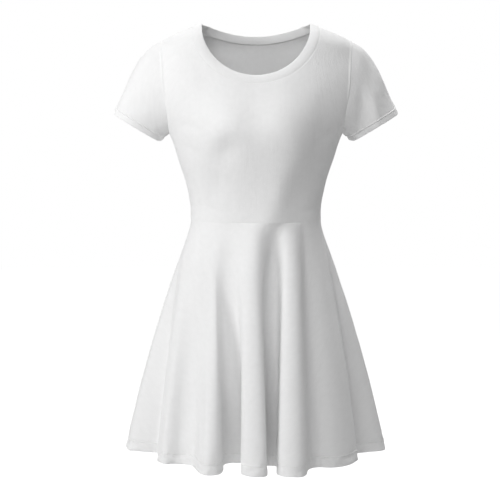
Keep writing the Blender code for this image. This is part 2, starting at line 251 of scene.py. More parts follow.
# A stitch is a short spindle of thread. Its rings are given by their places along it and their
# radii, as shares of its length and radius, and its middle stands off the cloth by its rise.
STITCH_LENGTH = 0.0023
STITCH_PITCH = 0.0028
STITCH_RADIUS = 0.00022
STITCH_RINGS = ((-0.36, 0.8), (0, 1), (0.36, 0.8))
STITCH_SIDES = 6
STITCH_RISE = 0.55
STITCH_AHEAD = 0.0005  # how far along its row a stitch's direction is read

# Unevenness of the cloth as sums of waves, and the ripples of a stitched hem: one kind dies out at
# the height of the turned hem, and a wider kind at some times that.
Wave = namedtuple("Wave", "weight per_metre seed")
NOISE_GAIN = 1.6
UNEVENNESS = 0.0004
UNEVEN_WAVES = (Wave(1.0, 22.0, 7.0), Wave(0.35, 61.0, 11.0))
PUCKER_WAVES = (Wave(1.0, 130.0, 3.0),)
HEM_WAVES = (Wave(1.0, 75.0, 21.0), Wave(0.6, 130.0, 5.0))
HEM_RIPPLE = 0.0006
WIDE_RIPPLE = 0.0004
WIDE_RIPPLE_REACH = 3
SLEEVE_RIPPLE = 0.5  # of the skirt's ripples

# Creases are soft troughs (of negative height) and ridges. Each runs from one place to another as
# the front or the back shows them, and bows to a side. Its skew is under 1 where it is strongest
# near its start, and over 1 where that is near its end.
CREASE_TAPER = 1.3
CREASE_SIDE_FADE = 2  # how fast it dies away where the cloth turns to the side
CREASE_FADE = 0.030  # how far from its seam a sleeve's creases die away, and a panel's move level
Crease = namedtuple("Crease", "facing from_x from_z to_x to_z bow breadth height skew")
FRONT, BACK = -1, 1
# The cloth drapes over a long soft ridge, from under the left shoulder over the waist to the middle
# of the skirt. A broader one lies under it.
LONG_DRAPE = Crease(FRONT, 0.141, -0.045, -0.026, -0.520, -0.007, 0.026, 0.0050, 1.0)
BROAD_DRAPE = Crease(FRONT, 0.116, -0.035, -0.030, -0.520, -0.007, 0.064, 0.0100, 1.0)
BODICE_CREASES = (
    LONG_DRAPE,
    BROAD_DRAPE,
    Crease(FRONT, -0.152, -0.170, -0.085, -0.196, 0.006, 0.008, -0.0012, 0.8),
    Crease(FRONT, 0.150, -0.178, 0.096, -0.205, 0.005, 0.009, -0.0014, 0.8),
    Crease(FRONT, -0.150, -0.205, -0.100, -0.236, 0.004, 0.007, -0.0010, 0.9),
    Crease(FRONT, 0.146, -0.222, 0.090, -0.252, 0.005, 0.010, -0.0012, 0.8),
    Crease(FRONT, -0.080, -0.253, -0.030, -0.186, 0.000, 0.024, -0.0056, 1.0),
    Crease(FRONT, -0.070, -0.238, -0.086, -0.330, 0.004, 0.016, -0.0014, 1.1),
    Crease(FRONT, 0.060, -0.245, 0.078, -0.340, -0.004, 0.018, -0.0016, 1.1),
    Crease(FRONT, -0.120, -0.322, -0.062, -0.338, 0.003, 0.006, -0.0008, 0.8),
    Crease(FRONT, 0.120, -0.326, 0.070, -0.338, 0.003, 0.006, -0.0009, 0.8),
    Crease(BACK, -0.150, -0.180, -0.090, -0.150, 0.006, 0.010, -0.0016, 0.9),
    Crease(BACK, 0.152, -0.172, 0.098, -0.140, 0.005, 0.009, -0.0014, 0.9),
    Crease(BACK, -0.105, -0.290, 0.020, -0.306, 0.008, 0.010, -0.0020, 1.0),
    Crease(BACK, 0.110, -0.302, 0.010, -0.322, 0.006, 0.008, -0.0017, 1.0),
    Crease(BACK, -0.110, -0.318, -0.020, -0.334, 0.004, 0.006, -0.0012, 1.0),
    Crease(BACK, -0.060, -0.080, -0.085, -0.200, 0.006, 0.018, -0.0014, 1.0),
    Crease(BACK, 0.070, -0.090, 0.088, -0.210, -0.006, 0.018, -0.0012, 1.0),
)
SKIRT_CREASES = (
    Crease(FRONT, 0.1185, -0.345, 0.2005, -0.850, 0.004, 0.0055, 0.0030, 0.7),
    Crease(FRONT, 0.1265, -0.345, 0.2095, -0.850, 0.004, 0.0055, -0.0030, 0.7),
    Crease(FRONT, 0.152, -0.440, 0.200, -0.900, 0.002, 0.005, -0.0022, 0.9),
    Crease(FRONT, 0.087, -0.380, 0.082, -0.520, 0.001, 0.004, 0.0012, 1.0),
    Crease(FRONT, -0.110, -0.440, -0.141, -1.000, 0.003, 0.027, -0.0122, 1.0),
    Crease(FRONT, -0.102, -0.600, -0.105, -0.900, 0.000, 0.003, -0.0009, 1.0),
    Crease(FRONT, -0.163, -0.520, -0.2165, -1.000, 0.000, 0.010, -0.0050, 1.0),
    Crease(FRONT, -0.060, -0.380, -0.064, -0.520, 0.002, 0.012, -0.0012, 1.0),
    Crease(FRONT, -0.090, -0.400, -0.110, -0.560, 0.003, 0.010, 0.0010, 1.0),
    Crease(BACK, 0.100, -0.400, 0.128, -0.640, 0.004, 0.009, -0.0014, 1.0),
    Crease(BACK, 0.040, -0.380, 0.046, -0.520, 0.003, 0.010, -0.0012, 1.0),
    Crease(BACK, -0.070, -0.390, -0.080, -0.570, 0.003, 0.009, -0.0014, 1.0),
    Crease(BACK, -0.112, -0.430, -0.150, -0.660, 0.004, 0.008, 0.0012, 1.0),
)
# A crease may cross the waist seam, so the bodice and the skirt share their creases.
PANEL_CREASES = BODICE_CREASES + SKIRT_CREASES
SLEEVE_CREASES = (
    Crease(FRONT, 0.214, -0.005, 0.224, -0.110, 0.000, 0.016, -0.0048, 1.0),
    Crease(FRONT, 0.219, -0.095, 0.236, -0.205, 0.000, 0.012, 0.0050, 1.0),
    Crease(FRONT, 0.194, -0.070, 0.203, -0.215, 0.000, 0.012, -0.0060, 1.0),
    Crease(FRONT, 0.246, -0.075, 0.262, -0.150, 0.000, 0.010, -0.0026, 1.0),
    Crease(FRONT, -0.190, -0.120, -0.245, -0.140, 0.004, 0.012, -0.0010, 0.9),
    Crease(BACK, 0.186, -0.175, 0.225, -0.140, 0.004, 0.009, -0.0014, 0.8),
    Crease(BACK, -0.186, -0.178, -0.220, -0.146, 0.004, 0.009, -0.0014, 0.8),
    Crease(BACK, 0.215, -0.060, 0.236, -0.160, 0.004, 0.014, -0.0014, 0.9),
    Crease(BACK, -0.212, -0.070, -0.232, -0.165, 0.004, 0.014, -0.0012, 0.9),
)

# The knit: the size of its loops, how deep they are, and the slubs, streaks and mottle over them by
# their waves to a metre, across and along the cloth.
KNIT_WALE = 0.00085
KNIT_COURSE = 0.0007
KNIT_DEPTH = 0.00006
SLUB_WAVES = (420.0, 60.0, 1.0)
STREAK_WAVES = (130.0, 9.0, 1.0)
MOTTLE_WAVES = 95.0
BODY_SLUBS = 0.00005
BAND_SLUBS = 0.00003
MOTTLE_TO_SLUBS = 4
STREAK_TO_SLUBS = 9
WHITE = 0.87
WHITE_SPREAD = 0.012  # how far the mottle takes the white up and down
MOTTLE_RANGE = (0.3, 0.7)
SHARP_ANGLE = math.radians(60)  # an edge that turns more is a hard one

# The camera looks a little down at the middle of the dress.
CAMERA_PITCH = math.radians(5.31)
CAMERA_DISTANCE = 2.55
CAMERA_PLACE = (-0.0113, -CAMERA_DISTANCE, -0.1785)
VIEW_WIDTH = 0.978

# Soft boxes by their azimuth from the front, positive to the wearer's left, and their elevation.
Lamp = namedtuple("Lamp", "name azimuth elevation size power")
LAMP_TARGET = (0, 0, -0.35)
LAMP_DISTANCE = 2.4
LAMPS = (
    Lamp("key", azimuth=-64, elevation=12, size=1.0, power=23.3),
    Lamp("front", azimuth=-15, elevation=45, size=1.2, power=25.5),
    Lamp("rim", azimuth=145, elevation=58, size=1.2, power=30),
)
WORLD_STRENGTH = 0.25

# The floor lies well under the hem. Its glow is seen but lights nothing.
FLOOR_DROP = 0.5
FLOOR_HALF_SIZE = 8
FLOOR_WHITE = 0.8
FLOOR_GLOW = 0.8


# ------------------------------------------------------------
# The form
# ------------------------------------------------------------


def curve_through(knots, values, places, closed=False):
    """The cubic curve through values at knots, read at places. A closed one ends as it begins."""
    knots = np.asarray(knots, float)
    values = np.asarray(values, float)
    steps = np.diff(knots)
    slopes = np.diff(values, axis=0) / steps.reshape((-1,) + (1,) * (values.ndim - 1))
    count = len(knots)
    system = np.zeros((count, count))
    target = np.zeros(values.shape)
    for i in range(1, count - 1):
        system[i, i - 1 : i + 2] = (
            1 / steps[i - 1],
            2 / steps[i - 1] + 2 / steps[i],
            1 / steps[i],
        )
        target[i] = 3 * (slopes[i - 1] / steps[i - 1] + slopes[i] / steps[i])
    if closed:
        system[0, 0] = 2 / steps[-1] + 2 / steps[0]
        system[0, 1] = 1 / steps[0]
        system[0, -2] = 1 / steps[-1]
        target[0] = 3 * (slopes[-1] / steps[-1] + slopes[0] / steps[0])
        system[-1, 0], system[-1, -1] = 1, -1
    else:
        system[0, :2] = 2, 1
        system[-1, -2:] = 1, 2
        target[0] = 3 * slopes[0]
        target[-1] = 3 * slopes[-1]
    tangents = np.linalg.solve(system, target)
    places = np.asarray(places, float)
    span = np.clip(np.searchsorted(knots, places, side="right") - 1, 0, count - 2)
    shape = places.shape + (1,) * (values.ndim - 1)
    h = steps[span].reshape(shape)
    t = ((places - knots[span]) / steps[span]).reshape(shape)
    return (
        values[span] * (1 + 2 * t) * (1 - t) ** 2
        + tangents[span] * h * t * (1 - t) ** 2
        + values[span + 1] * t**2 * (3 - 2 * t)
        + tangents[span + 1] * h * t**2 * (t - 1)
    )


def column(table, name):
    return [getattr(row, name) for row in table]


def ring_sizes(height):
    """Half width, front depth and back depth of the bodice's ring at a height."""
    heights = column(BODICE_RINGS, "height")
    sizes = [(ring.half_width, ring.front, ring.back) for ring in BODICE_RINGS]
    return np.moveaxis(curve_through(heights, sizes, height), -1, 0)


def armhole_distance(height):
    return curve_through(
        column(ARMHOLE_SIDES, "height"), column(ARMHOLE_SIDES, "distance"), height
    )


def oval(half_width, front, back, angle):
    """Points of a level oval at angles from the middle of its front, as x and y."""
    across, ahead = np.sin(angle), np.cos(angle)
    depth = np.where(ahead > 0, front, back)
    size = np.abs(across / half_width) ** ROUNDNESS + np.abs(ahead / depth) ** ROUNDNESS
    reach = size ** (-1 / ROUNDNESS)
    return reach * across, -reach * ahead


def bodice_point(angle, height):
    """The bodice's outer surface at an angle from the middle of the front, and a height."""
    half_width, front, back = ring_sizes(height)
    x, y = oval(half_width, front, back, angle)
    facing = np.clip(np.cos(angle), 0, 1)
    for side in (-BUST_SIDE, BUST_SIDE):
        away = ((x - side) ** 2 + (height - BUST_HEIGHT) ** 2) / BUST_RADIUS**2
        y = y - BUST_DEPTH * np.exp(-away) * facing
    return np.stack([x, y, height + 0 * x], axis=-1)


def armhole_rows():
    """Heights up the armhole, closer together at its ends, with the front and back angles there."""
    turns = np.linspace(0, np.pi, ARMHOLE_ROWS + 1)
    heights = ARMPIT + (SHOULDER_POINT - ARMPIT) * (1 - np.cos(turns)) / 2
    half_width, front, back = ring_sizes(heights)
    across = np.minimum(armhole_distance(heights) / half_width, 1)
    across[[0, -1]] = 1
    ahead = (1 - across**ROUNDNESS) ** (1 / ROUNDNESS)
    return (
        heights,
        np.arctan2(across * half_width, ahead * front),
        np.arctan2(across * half_width, ahead * back),
    )


def panel_angle(spread, turn, is_front):
    """The angle at a spread from -1 to 1 across a panel whose edges lie at a turn from its middle."""
    return spread * turn if is_front else np.pi - spread * turn


def neck_heights(line, spread, is_front):
    """The heights of a neck line at spreads from -1 to 1 across a panel."""
    reach = ring_sizes(np.array(line.shoulder))[0]
    angle = panel_angle(spread, np.pi / 2, is_front)
    low = np.full(spread.shape, WAIST)
    high = np.full(spread.shape, line.shoulder)
    for _ in range(NECK_HALVINGS):
        height = (low + high) / 2
        share = np.clip(np.abs(bodice_point(angle, height)[..., 0]) / reach, 0, 1)
        if is_front:
            wanted = line.shoulder - (line.shoulder - line.front) * np.sqrt(1 - share**2)
        else:
            wanted = line.back + (line.shoulder - line.back) * share**2
        low = np.where(height < wanted, height, low)
        high = np.where(height < wanted, high, height)
    return high


def column_spreads():
    """Spreads from -1 to 1 across a panel, closer together at its sides and closest at the seams."""
    steps = np.linspace(-SIDE_CROWDING, SIDE_CROWDING, PANEL_COLUMNS + 1)
    even = np.sin(steps) / np.sin(SIDE_CROWDING)
    half_width = ring_sizes(np.array(ARMPIT))[0]
    near = 1 - np.array(SEAM_STEPS) / half_width
    inner = even[np.abs(even) < near[-1]]
    return np.sort(np.concatenate([inner, near, -near, (-1.0, 1.0)]))


def crowd_start(first, last, count):
    """Places from first to last, closest together after first, as a seam there needs."""
    near = first + np.sign(last - first) * np.array(SEAM_STEPS)
    return np.concatenate([[first], near, np.linspace(near[-1], last, count + 1)[1:]])


def bodice_grid(is_front):
    """Rows of points up a bodice panel, from the waist seam to the neck seam."""
    armhole, front_turns, back_turns = armhole_rows()
    side = crowd_start(WAIST, ARMPIT, SIDE_ROWS)
    shoulder = crowd_start(NECK_SEAM.shoulder, SHOULDER_POINT, SHOULDER_ROWS)[::-1]
    edge = np.concatenate([side, armhole[1:], shoulder[1:]])
    even = np.concatenate(
        [side, np.linspace(ARMPIT, SHOULDER_POINT, ARMHOLE_ROWS + 1)[1:], shoulder[1:]]
    )
    turn = np.full(edge.shape, np.pi / 2)
    first = len(side) - 1
    turn[first : first + ARMHOLE_ROWS + 1] = front_turns if is_front else back_turns
    spread = column_spreads()
    nearness = np.abs(spread) ** EDGE_PULL
    climb = even[:, None] * (1 - nearness) + edge[:, None] * nearness - edge[0]
    top = neck_heights(NECK_SEAM, spread, is_front)
    height = edge[0] + climb * (top - edge[0]) / (edge[-1] - edge[0])
    turns = np.pi / 2 - nearness * (np.pi / 2 - turn[:, None])
    return bodice_point(panel_angle(spread, turns, is_front), height)


def sleeve_grid(side):
    """Rows of points down a sleeve from the armhole, each a loop that starts at the armpit."""
    heights, front_turns, back_turns = armhole_rows()
    front = bodice_point(front_turns, heights)
    back = bodice_point(np.pi - back_turns, heights)
    start = np.concatenate([front, back[-2:0:-1]])
    turn = np.linspace(0, 2 * np.pi, len(start), endpoint=False)[:, None]
    hem_axis = np.array(SLEEVE_HEM_AXIS)
    forward = np.array((0, -1, 0))
    upward = np.cross(forward, hem_axis)
    end = np.array(SLEEVE_HEM_CENTRE) - SLEEVE_HALF_HEIGHT * np.cos(turn) * upward
    end = end + SLEEVE_HALF_DEPTH * np.sin(turn) * forward
    past = np.clip(SLEEVE_HALF_HEIGHT * (np.abs(np.cos(turn)) - 1) + SLEEVE_CORNER, 0, None)
    end = end - past**2 / SLEEVE_CORNER * hem_axis
    topness = (1 - np.cos(turn)) / 2
    chord = end - start
    chord = chord / np.linalg.norm(chord, axis=1)[:, None]
    leave = chord * (1 - topness**2) + np.array(SLEEVE_CAP_AXIS) * topness**2
    leave = leave / np.linalg.norm(leave, axis=1)[:, None]
    pull = SleevePull(
        *(low + (top - low) * topness for low, top in zip(SLEEVE_UNDERARM, SLEEVE_TOP))
    )

    def loft(t):
        return (
            start * (1 + 2 * t) * (1 - t) ** 2
            + leave * pull.armhole * t * (1 - t) ** 2
            + end * t**2 * (3 - 2 * t)
            + hem_axis * pull.hem * t**2 * (t - 1)
        )

    fine = np.linspace(0, 1, SLEEVE_SAMPLES)
    lengths = lengths_along(loft(fine[:, None, None]), axis=0)
    rows = []
    for i in range(len(start)):
        places = edge_rows(lengths[-1, i], SLEEVE_FINE, SLEEVE_ROWS)
        rows.append(np.interp(places, lengths[:, i], fine))
    t = np.array(rows).T[:, :, None]
    return loft(t) * np.array((side, 1, 1))


def edge_rows(length, hem_width, count):
    """Distances down cloth of a length: crowded at its seam, then even, then fine in its hem."""
    hem = length - np.arange(0, hem_width, HEM_STEP)[::-1]
    return np.concatenate([crowd_start(0, hem[0], count)[:-1], hem])


def skirt_controls():
    """The skirt's control points: each has its fold and its waist, smooth hem and folded hem points.

    Every fold has one on each side of its middle, and a side seam also has one in the middle."""
    folds = FRONT_FOLDS + BACK_FOLDS
    waist_angles = np.radians(column(folds, "waist_degrees"))
    hem = np.array([(fold.hem_x, fold.hem_y) for fold in folds])
    along = np.roll(hem, -1, axis=0) - np.roll(hem, 1, axis=0)
    along = along / np.linalg.norm(along, axis=1)[:, None]
    gaps = np.diff(np.append(waist_angles, waist_angles[0] + 2 * np.pi))
    waist_ring = ring_sizes(np.array(WAIST))
    controls = []
    for i, fold in enumerate(folds):
        is_seam = fold.name.endswith("seam")
        for sign in (-1, 0, 1) if is_seam else (-1, 1):
            gap = gaps[i] if sign > 0 else gaps[i - 1]
            waist = oval(*waist_ring, waist_angles[i] + sign * gap / 4)
            folded = hem[i] + sign * fold.half_breadth * along[i]
            smooth = oval(*SKIRT_HEM[1:], np.arctan2(folded[0], -folded[1]))
            controls.append(
                Control(
                    waist=np.array([*waist, WAIST]),
                    smooth=np.array([*smooth, HEM]),
                    folded=np.array([*folded, HEM]),
                    fold=fold,
                    is_middle=sign == 0,
                )
            )
    return controls


def skirt_ring(controls, level):
    """The control points at a level, from 0 at the waist seam to 1 at the hem."""
    flare = level * (1 + SKIRT_EARLY_FLARE * (1 - level))
    flare = flare - SKIRT_SOFT_START * (1 - np.exp(-level / SKIRT_SOFT_REACH)) * (1 - level)
    points = []
    for control in controls:
        start, ease = control.fold.start, control.fold.ease
        grown = max(0.0, (level - start) / (1 - start)) ** ease
        point = control.waist + flare * (control.smooth - control.waist)
        point = point + grown * (control.folded - control.smooth)
        point[2] = WAIST + level * (HEM - WAIST)
        points.append(point)
    return np.array(points)


def skirt_grid(is_front):
    """Rows of points down a skirt panel from the waist seam, across it from seam to seam."""
    controls = skirt_controls()
    controls = controls[1:] + controls[:1]
    middle = [i for i, control in enumerate(controls) if control.is_middle][1]
    first, last = (0, middle) if is_front else (middle, len(controls))
    levels = edge_rows(WAIST - HEM, SKIRT_FINE, SKIRT_ROWS) / (WAIST - HEM)
    near = np.array(SKIRT_SIDE_STEPS)
    even = np.arange((first + 1) * FOLD_STEPS, (last - 1) * FOLD_STEPS + 1) / FOLD_STEPS
    steps = np.concatenate([first + near, even, last - near[::-1]])
    rows = []
    for level in levels:
        ring = skirt_ring(controls, level)
        ring = np.append(ring, ring[:1], axis=0)
        knots = np.append(0, np.cumsum(np.linalg.norm(np.diff(ring, axis=0), axis=1)))
        places = np.interp(steps, np.arange(len(knots)), knots)
        rows.append(curve_through(knots, ring, places, closed=True))
    return np.array(rows)


def band_grid():
    """Rows of points up the neckband from the neck seam, each a loop round the neck."""
    spread = column_spreads()
    rows = []
    for share in np.linspace(0, 1, BAND_ROWS + 1):
        line = NeckLine(*(a + (b - a) * share for a, b in zip(NECK_SEAM, NECK_EDGE)))
        loop = []
        for is_front in (True, False):
            points = bodice_point(
                panel_angle(spread, np.pi / 2, is_front), neck_heights(line, spread, is_front)
            )
            loop.append(points[:-1] if is_front else points[-1:0:-1])
        rows.append(np.concatenate(loop))
    return np.array(rows)


# ------------------------------------------------------------
# Cloth on the form
# ------------------------------------------------------------


def lengths_along(grid, axis):
    """How far each point lies along its row or column, from the first point of it."""
    steps = np.linalg.norm(np.diff(grid, axis=axis), axis=-1)
    pad = [(0, 0)] * steps.ndim
    pad[axis] = (1, 0)
    return np.pad(np.cumsum(steps, axis=axis), pad)


def unit(vectors):
    return vectors / np.linalg.norm(vectors, axis=-1, keepdims=True)


def outward_of(grid, is_loop, is_flipped):
    """Unit normals of a grid's points, on the side that faces away from the wearer."""
    if is_loop:
        wide = np.concatenate([grid[:, -1:], grid, grid[:, :1]], axis=1)
        across = wide[:, 2:] - wide[:, :-2]
    else:
        across = np.gradient(grid, axis=1)
    normal = unit(np.cross(across, np.gradient(grid, axis=0)))
    return -normal if is_flipped else normal


def distance_to_line(points, line):
    """How far each point is from a line of straight steps."""
    nearest = np.full(points.shape[:-1], np.inf)
    for start, end in zip(line[:-1], line[1:]):
        step = end - start
        share = np.clip((points - start) @ step / max(step @ step, 1e-12), 0, 1)
        away = points - start - share[..., None] * step
        nearest = np.minimum(nearest, np.einsum("...i,...i->...", away, away))
    return np.sqrt(nearest)


def bell(distance, reach):
    return np.exp(-((distance / reach) ** 2))


def seam_relief(points, line, shape):
    """How far the cloth stands off its form beside a seam: sunk at the seam, puffed next to it."""
    distance = distance_to_line(points, line)
    puff = shape.puff * bell(distance - shape.puff_at, shape.puff_reach)
    if shape.fades_under is not None:
        puff = puff * np.clip(1 + (points[..., 2] - shape.fades_under) / SEAM_FADE, 0, 1)
    if shape.pucker:
        puff = puff + shape.pucker * bell(distance, PUCKER_REACH) * noise_at(points, PUCKER_WAVES)
    return puff - shape.depth * bell(distance, shape.reach)


def noise_at(points, waves):
    """Smooth unevenness between about -1 and 1: the sum of some waves at each point."""
    total = np.zeros(len(points.reshape(-1, 3)))
    for wave in waves:
        places = (points.reshape(-1, 3) * wave.per_metre + wave.seed).tolist()
        total += wave.weight * NOISE_GAIN * np.array([noise.noise(place) for place in places])
    return total.reshape(points.shape[:-1])


def crease_relief(grid, outward, crease):
    """A soft trough or ridge from one place to another, as the front or the back shows them."""
    start = np.array((crease.from_x, crease.from_z))
    step = np.array((crease.to_x, crease.to_z)) - start
    length = np.linalg.norm(step)
    along = step / length
    beside = np.array((-along[1], along[0]))
    place = grid[..., [0, 2]] - start
    share = np.clip(place @ along / length, 0, 1)
    centre = share[..., None] * step + (crease.bow * 4 * share * (1 - share))[..., None] * beside
    away = np.linalg.norm(place - centre, axis=-1)
    strength = np.sin(np.pi * share**crease.skew) ** CREASE_TAPER
    toward = np.clip(crease.facing * outward[..., 1] * CREASE_SIDE_FADE, 0, 1)
    return crease.height * bell(away, crease.breadth) * strength * toward


def dent_rows(grid, distances, tunnel):
    """Shallow dents under rows of stitches, and a soft tunnel between them."""
    total = np.zeros(grid.shape[:2])
    from_edge = lengths_along(grid[::-1], axis=0)[::-1]
    for distance in distances:
        total -= STITCH_DENT * bell(from_edge - distance, STITCH_REACH)
    return total + tunnel * bell(from_edge - sum(distances) / len(distances), TUNNEL_REACH)


def hem_ripple(grid, turn):
    """The small ripples of a stitched hem, which die out above its stitches."""
    from_edge = lengths_along(grid[::-1], axis=0)[::-1]
    near = HEM_RIPPLE * bell(from_edge, turn)
    wide = WIDE_RIPPLE * bell(from_edge, WIDE_RIPPLE_REACH * turn)
    return (near + wide) * noise_at(grid, HEM_WAVES)


def turned_in(grid, outward, width, radius):
    """The grid with its last edge folded in and laid flat behind it, over a width."""
    edge, side = grid[-1], outward[-1]
    down = unit(edge - grid[-2])
    turns = np.pi * np.arange(1, TURN_STEPS) / TURN_STEPS
    fold = [edge + radius * ((math.cos(a) - 1) * side + math.sin(a) * down) for a in turns]
    from_edge = lengths_along(grid[::-1], axis=0).mean(axis=1)
    count = int(np.searchsorted(from_edge, width))
    flap = grid[::-1][:count] - 2 * radius * outward[::-1][:count]
    return np.concatenate([grid, fold, flap])


# ------------------------------------------------------------
# Materials
# ------------------------------------------------------------


class Nodes:
    """A short way to build a material's nodes: each call adds one, with its settings and inputs.

    An input is named as its socket is, or i0, i1 and so on by its number. A value that is another
    node's output is linked."""

    def __init__(self, tree):
        self.tree = tree

    def add(self, kind, settings=None, **inputs):
        node = self.tree.nodes.new(kind)
        for name, value in (settings or {}).items():
            setattr(node, name, value)
        for name, value in inputs.items():
            is_number = name[1:].isdigit()
            socket = node.inputs[int(name[1:]) if is_number else name.replace("_", " ")]
            if isinstance(value, bpy.types.NodeSocket):
                self.tree.links.new(value, socket)
            else:
                socket.default_value = value
        return node

    def math(self, operation, a, b=0.0):
        return self.add("ShaderNodeMath", {"operation": operation}, i0=a, i1=b).outputs[0]


def jersey_material(name, slubs):
    """White jersey: columns of knit loops, faint slubs along them, and a soft bloom."""
    material = bpy.data.materials.new(name)
    material.use_nodes = True
    tree = material.node_tree
    shader = tree.nodes["Principled BSDF"]
    nodes = Nodes(tree)
    place = nodes.add("ShaderNodeUVMap", {"uv_map": "cloth"}).outputs[0]
    parts = nodes.add("ShaderNodeSeparateXYZ", Vector=place)
    across, along = parts.outputs[0], parts.outputs[1]

    wale = nodes.math("MULTIPLY", across, 1 / KNIT_WALE)
    within = nodes.math("ABSOLUTE", nodes.math("SUBTRACT", nodes.math("FRACT", wale), 0.5))
    course = nodes.math("ADD", nodes.math("MULTIPLY", along, 1 / KNIT_COURSE), within)
    loop = nodes.math("SINE", nodes.math("MULTIPLY", course, 2 * math.pi))
    edge = nodes.math("COSINE", nodes.math("MULTIPLY", within, 2 * math.pi))
    knit = nodes.math("ADD", nodes.math("MULTIPLY", loop, 0.5), nodes.math("MULTIPLY", edge, -0.5))

    def noise_along(scale, detail):
        stretched = nodes.add("ShaderNodeMapping", Vector=place, Scale=scale).outputs[0]
        return nodes.add("ShaderNodeTexNoise", Vector=stretched, Scale=1.0, Detail=detail).outputs[0]

    mottle = nodes.add("ShaderNodeTexNoise", Vector=place, Scale=MOTTLE_WAVES, Detail=4.0).outputs[0]
    height = nodes.math("MULTIPLY", knit, KNIT_DEPTH)
    for pattern, size in (
        (noise_along(SLUB_WAVES, 3.0), slubs),
        (mottle, slubs * MOTTLE_TO_SLUBS),
        (noise_along(STREAK_WAVES, 2.0), slubs * STREAK_TO_SLUBS),
    ):
        height = nodes.math("ADD", height, nodes.math("MULTIPLY", pattern, size))
    bump = nodes.add("ShaderNodeBump", Height=height, Strength=1.0, Distance=1.0)
    tree.links.new(bump.outputs[0], shader.inputs["Normal"])

    low, high = MOTTLE_RANGE
    tint = nodes.add(
        "ShaderNodeMapRange",
        Value=mottle,
        From_Min=low,
        From_Max=high,
        To_Min=WHITE - WHITE_SPREAD,
        To_Max=WHITE + WHITE_SPREAD,
    ).outputs[0]
    colour = nodes.add("ShaderNodeCombineColor", Red=tint, Green=tint, Blue=tint)
    tree.links.new(colour.outputs[0], shader.inputs["Base Color"])
    shader.inputs["Roughness"].default_value = 0.92
    shader.inputs["Specular IOR Level"].default_value = 0.25
    shader.inputs["Sheen Weight"].default_value = 0.08
    shader.inputs["Sheen Roughness"].default_value = 0.5
    return material


def thread_material():
    material = bpy.data.materials.new("white_thread")
    material.use_nodes = True
    tree = material.node_tree
    shader = tree.nodes["Principled BSDF"]
    nodes = Nodes(tree)
    place = nodes.add("ShaderNodeTexCoord").outputs["Object"]
    twist = nodes.add("ShaderNodeTexNoise", Vector=place, Scale=2500.0, Detail=1.0).outputs[0]
    bump = nodes.add("ShaderNodeBump", Height=twist, Strength=0.4, Distance=0.0001)
    tree.links.new(bump.outputs[0], shader.inputs["Normal"])
    shader.inputs["Base Color"].default_value = (0.9, 0.9, 0.895, 1.0)
    shader.inputs["Roughness"].default_value = 0.6
    shader.inputs["Sheen Weight"].default_value = 0.1
    return material


# ------------------------------------------------------------
# Pieces
# ------------------------------------------------------------


def mesh_from_grid(name, grid, cloth_place, is_loop, is_flipped):
    """A mesh through a grid's points, with a UV map of their places in the cloth, in metres."""
    rows, columns = grid.shape[:2]
    count = columns if is_loop else columns - 1
    i, j = np.meshgrid(np.arange(rows - 1), np.arange(count), indexing="ij")
    k = (j + 1) % columns
    below, above = i * columns, (i + 1) * columns
    corners = np.stack([below + j, below + k, above + k, above + j], -1)
    across = np.stack([j, j + 1, j + 1, j], -1)
    up = np.stack([i, i, i + 1, i + 1], -1)
    if is_flipped:
        corners, across, up = corners[..., ::-1], across[..., ::-1], up[..., ::-1]
    mesh = bpy.data.meshes.new(name)
    mesh.from_pydata(grid.reshape(-1, 3).tolist(), [], corners.reshape(-1, 4).tolist())
    layer = mesh.uv_layers.new(name="cloth")
    layer.uv.foreach_set("vector", cloth_place[up, across].astype(np.float32).ravel())
    return mesh


def cloth_places(grid, is_loop):
    """Each point's place in the flat cloth: across from the middle, and along from the first row."""
    wide = np.concatenate([grid, grid[:, :1]], axis=1) if is_loop else grid
    across = lengths_along(wide, axis=1)
    along = lengths_along(wide, axis=0)
    return np.stack([across - across[:, -1:] / 2, along], axis=-1)


def add_piece(name, mesh, material):
    mesh.materials.append(material)
    piece = bpy.data.objects.new(name, mesh)
    bpy.context.scene.collection.objects.link(piece)
    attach(piece, "root")
    return piece


def cloth_piece(name, grid, material, is_loop=False, is_flipped=False):
    """A shell of jersey whose outer face goes through the grid's points."""
    mesh = mesh_from_grid(name + "_sheet", grid, cloth_places(grid, is_loop), is_loop, is_flipped)
    sheet = bpy.data.objects.new(name + "_sheet", mesh)
    bpy.context.scene.collection.objects.link(sheet)
    shell = sheet.modifiers.new("cloth thickness", "SOLIDIFY")
    shell.thickness = JERSEY
    shell.offset = -1.0
    bpy.context.view_layer.update()
    evaluated = sheet.evaluated_get(bpy.context.evaluated_depsgraph_get())
    solid = bpy.data.meshes.new_from_object(evaluated)
    bpy.data.objects.remove(sheet)
    bpy.data.meshes.remove(mesh)
    solid.shade_smooth()
    solid.set_sharp_from_angle(angle=SHARP_ANGLE)
    solid.name = name + "_jersey"
    piece = add_piece(solid.name, solid, material)
    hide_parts(name)
    return piece


def stitch_template():
    """The points of one stitch along +X, as shares of its length and radius, and its faces."""
    n = STITCH_SIDES
    circle = [(math.cos(a), math.sin(a)) for a in np.arange(n) * 2 * np.pi / n]
    points = [(-0.5, 0, 0)]
    points += [(x, c * radius, s * radius) for x, radius in STITCH_RINGS for c, s in circle]
    points += [(0.5, 0, 0)]
    last_ring = 1 + n * (len(STITCH_RINGS) - 1)
    faces = []
    for k in range(n):
        after = (k + 1) % n
        faces.append((0, 1 + after, 1 + k))
        for ring in range(1, last_ring, n):
            faces.append((ring + k, ring + after, ring + n + after, ring + n + k))
        faces.append((last_ring + n, last_ring + k, last_ring + after))
    return np.array(points), faces


